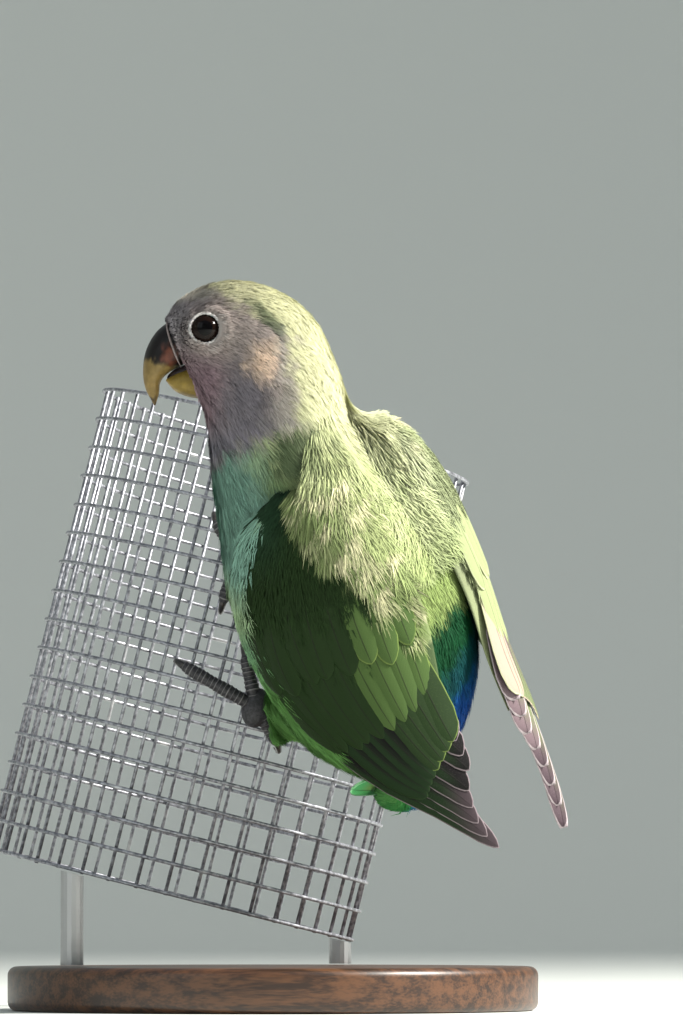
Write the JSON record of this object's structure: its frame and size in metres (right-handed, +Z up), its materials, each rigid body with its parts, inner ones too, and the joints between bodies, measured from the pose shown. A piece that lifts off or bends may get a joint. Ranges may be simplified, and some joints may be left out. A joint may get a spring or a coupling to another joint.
{
  "type": "peach-faced lovebird model",
  "caption": "Life-size still model of a young peach-faced lovebird clinging to a short cut length of wire mesh tube, held by a plain display stand.",
  "frame": {"origin": "centre of the underside of the stand's base", "axes": "+Z up; the bird's back is turned towards -Y and +X, and its head faces -X"},
  "size_m": [0.1334, 0.1512, 0.1601],
  "materials": {
    "plumage": "matte green feathers",
    "face_plumage": "matte pinkish grey feathers",
    "bill_horn": "satin horn, ochre with a dark base",
    "eye": "glossy dark brown",
    "foot_skin": "dry scaly grey skin",
    "claw_horn": "satin dark horn",
    "mesh_wire": "galvanised, weathered",
    "base_wood": "dark stained, satin varnish",
    "rod_steel": "brushed"
  },
  "bodies": {
    "root": {"head": "face_plumage", "neck": "plumage", "torso": "plumage", "wing_left": "plumage", "wing_right": "plumage", "tail": "plumage", "bill_upper": "bill_horn", "bill_lower": "bill_horn", "eye_left": "eye", "eye_right": "eye", "leg_left": "foot_skin", "leg_right": "foot_skin", "foot_left": "foot_skin", "foot_right": "foot_skin", "claw_left_1": "claw_horn", "claw_left_2": "claw_horn", "claw_left_3": "claw_horn", "claw_left_4": "claw_horn", "claw_right_1": "claw_horn", "claw_right_2": "claw_horn", "claw_right_3": "claw_horn", "claw_right_4": "claw_horn", "perch_panel_1": "mesh_wire", "perch_panel_2": "mesh_wire", "perch_panel_3": "mesh_wire", "perch_panel_4": "mesh_wire", "perch_panel_5": "mesh_wire", "perch_panel_6": "mesh_wire", "perch_panel_7": "mesh_wire", "perch_panel_8": "mesh_wire", "perch_panel_9": "mesh_wire", "perch_panel_10": "mesh_wire", "stand_base": "base_wood", "stand_rod_front": "rod_steel", "stand_rod_back": "rod_steel"}
  },
  "joints": []
}
